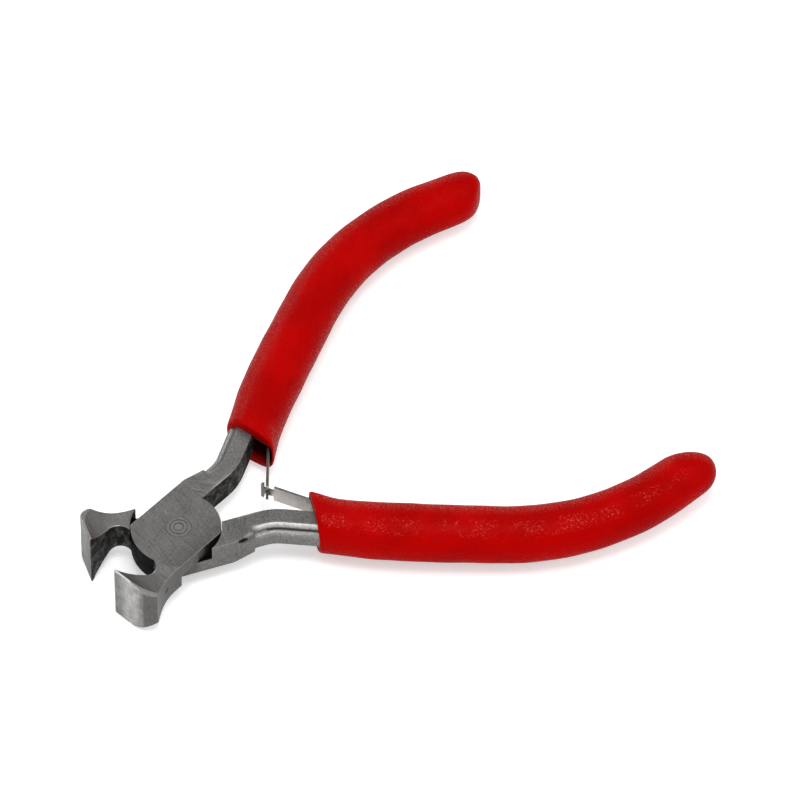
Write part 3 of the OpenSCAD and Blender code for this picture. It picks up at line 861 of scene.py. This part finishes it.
@dataclass(frozen=True)
class DippedGrip:
    """One dipped grip: skin, rounded rim and the hollow in its mouth, as one closed surface.

    Rings are arrays with a row for each ring and a column for each angle round it, which hold the distance
    along the handle, the sideways offset and the height.
    """

    lever: Lever
    width: float = 10.0
    height: float = 10.1
    width_shares: tuple[float, ...] = (1.0, 1.07, 1.04, 0.985)
    height_shares: tuple[float, ...] = (1.0, 1.0, 1.0, 0.97)
    square: float = 2.15
    mouth_square: float = 4.0
    mouth_shift: float = 0.75
    mouth_run: float = 14.0
    mouth_back: float = 2.0
    mouth_slant: float = 0.31
    lip_flare: float = 0.3
    lip_run: float = 7.0
    rim_len: float = 0.7
    rim_drop: float = 0.35
    end_flat: float = 0.1
    end_nose: float = 0.29
    wave_depth: float = 0.07
    wave_start: float = 4.0
    wave_run: float = 6.0
    hollow_height: float = 2.35
    hollow_depth: float = 4.3
    hollow_square: float = 5.0
    mouth_share: float = 0.6
    tang_overlap: float = 0.3
    root_depth: float = 1.6
    root: float = 10.3
    root_past: float = 2.5
    sides: int = 112
    pole_rings: int = 4
    cap_rings: int = 26
    body_rings: int = 149
    rim_rings: int = 8
    hollow_rings: int = 14

    @property
    def name(self) -> str:
        """Name of the piece."""
        return f"{self.lever.short}_dipped_grip"

    @property
    def end(self) -> GripEnd:
        """This grip's own blunt end."""
        return GRIP_ENDS[self.lever]

    @property
    def path(self) -> HandlePath:
        """Middle line of this grip's handle."""
        return HandlePath(self.end.arc)

    @property
    def body_end(self) -> float:
        """Distance along the handle at which the blunt end starts."""
        return self.path.length - self.end.length

    @property
    def round(self) -> np.ndarray:
        """Angles round a ring."""
        return np.linspace(0.0, 2.0 * np.pi, self.sides, endpoint=False)

    def size(self, s: np.ndarray) -> tuple[np.ndarray, np.ndarray, np.ndarray]:
        """Half sizes of the skin at distances along the handle.

        Widths and heights follow two tables of shares with a smooth step between neighbours; the mouth leans
        to the inner side and its lip flares.

        Args:
            s: Distances along the handle.

        Returns:
            Half width on the outer side, half width on the inner side, and half height.
        """
        u = np.clip(s / self.path.length, 0.0, 1.0)

        def shares(*table: float) -> np.ndarray:
            """Follow one table of shares at u."""
            values = np.asarray(table)
            steps = len(table) - 1
            k = np.minimum(steps - 1, np.floor(u * steps)).astype(int)
            return values[k] + (values[k + 1] - values[k]) * smooth(u * steps - k)

        half = self.width * shares(*self.width_shares, self.end.width_share) / 2.0
        tall = self.height * shares(*self.height_shares, self.end.height_share) / 2.0
        back = self.mouth_shift * (1.0 - smooth(s / self.mouth_run))
        lip = self.lip_flare * (1.0 - smooth(s / self.lip_run))
        return half - back, half + back + lip, tall

    def slant(self, s: np.ndarray) -> np.ndarray:
        """Slant of a ring at a distance along the handle."""
        mouth = self.mouth_slant * (1.0 - smooth((s - self.mouth_back) / self.mouth_run))
        return mouth + self.end.slant * smooth(1.0 - (self.body_end - s) / self.mouth_run)

    def section(
        self, s: np.ndarray, scale: np.ndarray, rise: np.ndarray, thin: np.ndarray
    ) -> tuple[np.ndarray, np.ndarray]:
        """Offsets of the skin's rings.

        A ring is a superellipse: both coordinates are powers of the cosine and sine of the angle round it,
        squarer on the inner side near the mouth. Long low waves of the dipped skin take a little off.

        Args:
            s: Distance along the handle of each ring.
            scale: Scale of each ring's width.
            rise: Scale of each ring's height.
            thin: What each ring loses all round.

        Returns:
            Sideways offset and height, with a row for each ring.
        """
        a = self.round[None, :]
        outer, inner, tall = (v[:, None] for v in self.size(s))
        s, scale, rise, thin = (v[:, None] for v in (s, scale, rise, thin))
        wave = 2.0 + np.sin(0.9 * s + 2.0 * a + self.lever.flip) + np.sin(0.47 * s - 3.0 * a + 1.7)
        thin = thin + self.wave_depth / 4.0 * wave * scale * smooth((s - self.wave_start) / self.wave_run)
        boxy = np.where(np.cos(a) < 0.0, self.mouth_square - self.square, 0.0)
        power = 2.0 / (self.square + boxy * (1.0 - smooth(s / self.lip_run)))
        wide = np.where(np.cos(a) > 0.0, outer, inner)
        off = signed_power(np.cos(a), power) * (wide * scale - thin)
        up = signed_power(np.sin(a), power) * (tall * rise - thin)
        return off, up

    def cap(self) -> tuple[np.ndarray, np.ndarray, np.ndarray]:
        """Rings of the blunt end, a dome mixed with a gable that has a rounded nose.

        The dome follows a superellipse and the gable a hyperbola. Heights shrink later than widths, which
        gives the end the form of a wedge.

        Returns:
            Distance along the handle of each ring, and the scales of its width and height.
        """
        square, nose = self.end.square, self.end_nose
        last = math.acos(self.end_flat ** (square / 2.0))
        turn = np.linspace(last, 0.0, self.cap_rings)
        scale = np.cos(turn) ** (2.0 / square)
        gable = 1.0 - (np.hypot(scale, nose) - nose) / (np.hypot(1.0, nose) - nose)
        dome = np.sin(turn) ** (2.0 / square)
        share = dome + self.end.gable * (gable - dome)
        rise = np.maximum((1.0 - share**square) ** (1.0 / square), scale)
        return self.body_end + self.end.length * share, scale, rise

    def skin(self) -> np.ndarray:
        """Rings of the skin, from the pole at the blunt end to the edge of the rim."""
        start = self.mouth_back + self.rim_len
        cap_s, cap_scale, cap_rise = self.cap()
        inner = np.linspace(0.0, 1.0, self.pole_rings + 2)[1:-1]
        body_s = np.linspace(self.body_end, start, self.body_rings + 1)[1:]
        rim = np.linspace(0.0, np.pi / 2.0, self.rim_rings + 1)[1:]
        plain = np.ones(self.body_rings + self.rim_rings)
        rim_s = start - self.rim_len * np.sin(rim)
        s = np.concatenate([np.full(self.pole_rings, cap_s[0]), cap_s, body_s, rim_s])
        scale = np.concatenate([cap_scale[0] * inner, cap_scale, plain])
        rise = np.concatenate([cap_rise[0] * inner, cap_rise, plain])
        thin = np.concatenate([np.zeros(len(s) - self.rim_rings), self.rim_drop * (1.0 - np.cos(rim))])
        off, up = self.section(s, scale, rise, thin)
        return np.stack([s[:, None] + self.slant(s)[:, None] * off, off, up], -1)

    def hollow(self, rim: np.ndarray) -> np.ndarray:
        """Rings of the hollow, a rounded slot beside the tang that gets shallower towards the leaf's root.

        Args:
            rim: The last ring of the skin.

        Returns:
            The rings, from the mouth inwards.
        """
        a = self.round
        deep = np.concatenate([np.zeros(1), np.linspace(0.0, 1.0, self.hollow_rings)])[:, None]
        depth = self.hollow_depth + (self.root_depth - self.hollow_depth) * deep
        reach = (depth + self.tang_overlap) / 2.0
        middle = -self.path.middle - (depth - self.tang_overlap) / 2.0
        power = 2.0 / self.hollow_square
        off = middle + signed_power(np.cos(a), power) * reach
        up = signed_power(np.sin(a), power) * self.hollow_height + np.zeros_like(depth)
        s = self.mouth_back + (self.root + self.root_past - self.mouth_back) * deep
        along = s + self.mouth_slant * off * (1.0 - deep)

        # The first ring lies between the rim and the slot, which rounds the mouth's inner edge
        off[0] = rim[:, 1] + self.mouth_share * (off[1] - rim[:, 1])
        up[0] = rim[:, 2] + self.mouth_share * (up[1] - rim[:, 2])
        along[0] = self.mouth_back + self.mouth_slant * off[0]
        return np.stack([along, off, up], -1)

    def mesh(self) -> bpy.types.Mesh:
        """Join the rings with quads and close both ends with fans."""
        skin = self.skin()
        rings = np.concatenate([skin, self.hollow(skin[-1])])
        rows, sides = rings.shape[:2]
        plan = self.path.point(rings[..., 0], rings[..., 1])
        points = np.concatenate([plan, rings[..., 2:]], axis=-1)
        poles = np.stack([points[0].mean(0), points[-1].mean(0)])
        points = self.lever.to_row(np.concatenate([points.reshape(-1, 3), poles]))
        past_rim = np.arange(rows) - (rows - self.hollow_rings - 2)
        hollow = np.concatenate([np.repeat(np.clip(past_rim / 3.0, 0.0, 1.0), sides), [0.0, 1.0]])

        i, j = np.meshgrid(np.arange(rows - 1), np.arange(sides), indexing="ij")
        k = (j + 1) % sides
        here, there = i * sides, (i + 1) * sides
        quads = np.stack([here + j, there + j, there + k, here + k], -1).reshape(-1, 4)
        j, k = j[0], k[0]
        base = (rows - 1) * sides
        first = np.stack([np.full(sides, rows * sides), j, k], -1)
        last = np.stack([np.full(sides, rows * sides + 1), base + k, base + j], -1)
        mesh = bpy.data.meshes.new(self.name)
        mesh.from_pydata(points.tolist(), [], quads.tolist() + first.tolist() + last.tolist())
        mesh.polygons.foreach_set("use_smooth", np.ones(len(mesh.polygons), bool))
        mesh.attributes.new("hollow", "FLOAT", "POINT").data.foreach_set("value", hollow)
        mesh.update()
        return mesh

    def build(self, vinyl: bpy.types.Material) -> None:
        """Make the piece, dress it and let it ride on its lever."""
        mesh = self.mesh()
        mesh.materials.append(vinyl)
        piece = bpy.data.objects.new(self.name, mesh)
        bpy.context.scene.collection.objects.link(piece)
        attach(piece, self.lever.value)
        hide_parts(f"{self.lever.short}_grip")
        log.info("%s: %d faces", piece.name, len(mesh.polygons))


class SteelWork:
    """The forged halves, rivets and leaves, which keep their exact solids and get their finishes."""

    def dress(self, node: str, material: bpy.types.Material) -> None:
        """Give a node its only material."""
        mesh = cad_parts[node].data
        mesh.materials.clear()
        mesh.materials.append(material)
        log.info("%s: %s", node, material.name)

    def build(self) -> None:
        """Dress every steel node."""
        for lever in Lever:
            self.dress(f"{lever.short}_half", ForgedSteel().make(lever))
        rivet = RivetSteel().make()
        for node in ("pivot_rivet", "slotted_leaf_rivet", "hooked_leaf_rivet"):
            self.dress(node, rivet)
        for node in ("slotted_leaf", "hooked_leaf"):
            self.dress(node, SpringSteel().make(node))


@dataclass(frozen=True)
class Lamp:
    """A square soft lamp that looks at the middle of the tool, with its place and side in metres."""

    name: str
    spot: Triple
    size: float
    power: float
    gloss_only: bool = False
    target: Triple = (0.03, 0.0, 0.0)

    def build(self) -> None:
        """Add the lamp; one for gloss alone shows in reflections and lights nothing else."""
        data = bpy.data.lights.new(self.name, "AREA")
        data.shape = "SQUARE"
        data.size = self.size
        data.energy = self.power
        item = bpy.data.objects.new(self.name, data)
        item.location = self.spot
        item.visible_diffuse = not self.gloss_only
        item.rotation_euler = (Vector(self.spot) - Vector(self.target)).to_track_quat("Z", "Y").to_euler()
        bpy.context.scene.collection.objects.link(item)


@dataclass(frozen=True)
class Studio:
    """Pale floor, soft lights and the camera at the photograph's angle."""

    azimuth: float = -33.15
    elevation: float = 52.1
    distance: float = 1.852
    aim: Span = (-0.0402, -0.02484)
    lens: float = 458.0
    sensor: float = 36.0
    clip_start: float = 0.05
    floor_z: float = -0.0035
    floor_half: float = 3.0
    floor_colour: Colour = (0.92, 0.92, 0.92)
    floor_lift: float = 0.4
    world_strength: float = 0.5
    white_rays: tuple[str, ...] = ("Camera", "Glossy", "Transmission")
    lamps: tuple[Lamp, ...] = (
        Lamp("key", (-0.01, -0.12, 0.74), 0.3, 2.4),
        Lamp("back", (-0.35, 0.5, 0.7), 0.5, 1.5),
        Lamp("fill", (0.5, -0.5, 0.5), 0.6, 1.6),
        Lamp("front", (-0.7, -0.35, 0.25), 0.35, 1.0),
        Lamp("spark_top", (0.0, -0.12, 0.74), 0.06, 1.7, gloss_only=True),
        Lamp("spark_back", (0.05, 0.68, 0.31), 0.06, 1.7, gloss_only=True),
    )

    def camera(self) -> None:
        """Place the camera by its right, up and backward directions."""
        a, e = math.radians(-self.azimuth), math.radians(self.elevation)
        right = np.array([math.cos(a), -math.sin(a), 0.0])
        back = np.array([-math.sin(a) * math.cos(e), -math.cos(a) * math.cos(e), math.sin(e)])
        up = np.cross(back, right)
        joint = np.array([0.0, 0.0, HALF_T * MM])
        spot = self.distance * back - self.aim[0] * right - self.aim[1] * up + joint
        data = bpy.data.cameras.new("photo_camera")
        data.lens = self.lens
        data.sensor_width = self.sensor
        data.clip_start = self.clip_start
        item = bpy.data.objects.new("photo_camera", data)
        matrix = np.eye(4)
        matrix[:3] = np.stack([right, up, back, spot], 1)
        item.matrix_world = Matrix(matrix.tolist())
        bpy.context.scene.collection.objects.link(item)
        bpy.context.scene.camera = item

    def world(self) -> None:
        """Light the world, white for some kinds of ray and at a plain level for the rest."""
        world = bpy.data.worlds.new("studio")
        bpy.context.scene.world = world
        world.use_nodes = True
        tree = Tree(world.node_tree)
        rays = tree.node("ShaderNodeLightPath", {}, {}).socket.node.outputs
        camera, glossy, through = (Shade(tree, rays[f"Is {kind} Ray"]) for kind in self.white_rays)
        levels = {"Value": camera | glossy | through, "To Min": self.world_strength, "To Max": 1.0}
        level = tree.node("ShaderNodeMapRange", {}, levels)
        sky = tree.node("ShaderNodeBackground", {}, {"Color": WHITE, "Strength": level})
        tree.end("ShaderNodeOutputWorld", sky)

    def pale(self) -> bpy.types.Material:
        """Build the floor's material, white to the camera but for the tool's shadow."""
        dye = Dye("pale_floor")
        matt = dye.node("ShaderNodeBsdfDiffuse", {}, {"Color": self.floor_colour})
        ray = dye.node("ShaderNodeLightPath", {}, {}, "Is Camera Ray")
        glow = dye.node("ShaderNodeEmission", {}, {"Color": WHITE, "Strength": ray * self.floor_lift})
        return dye.surface(dye.node("ShaderNodeAddShader", {}, {0: matt, 1: glow}))

    def floor(self) -> None:
        """Lay the floor under the lowest point of the tool."""
        side = [-self.floor_half, self.floor_half]
        x, y = np.meshgrid(side, side)
        points = np.stack([x.ravel(), y.ravel(), np.full(4, self.floor_z)], -1)
        mesh = bpy.data.meshes.new("floor")
        mesh.from_pydata(points.tolist(), [], [(0, 1, 3, 2)])
        mesh.materials.append(self.pale())
        item = bpy.data.objects.new("floor", mesh)
        bpy.context.scene.collection.objects.link(item)

    def build(self) -> None:
        """Set up everything round the tool."""
        bpy.context.scene.view_settings.view_transform = "Standard"
        self.camera()
        self.world()
        self.floor()
        for lamp in self.lamps:
            lamp.build()


def main() -> None:
    """Build the scene."""
    logging.basicConfig(level=logging.INFO, format="%(name)s %(message)s")
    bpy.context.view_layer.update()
    Studio().build()
    SteelWork().build()
    for lever in Lever:
        DippedGrip(lever).build(DippedVinyl().make(lever))


if __name__ == "__main__":
    main()
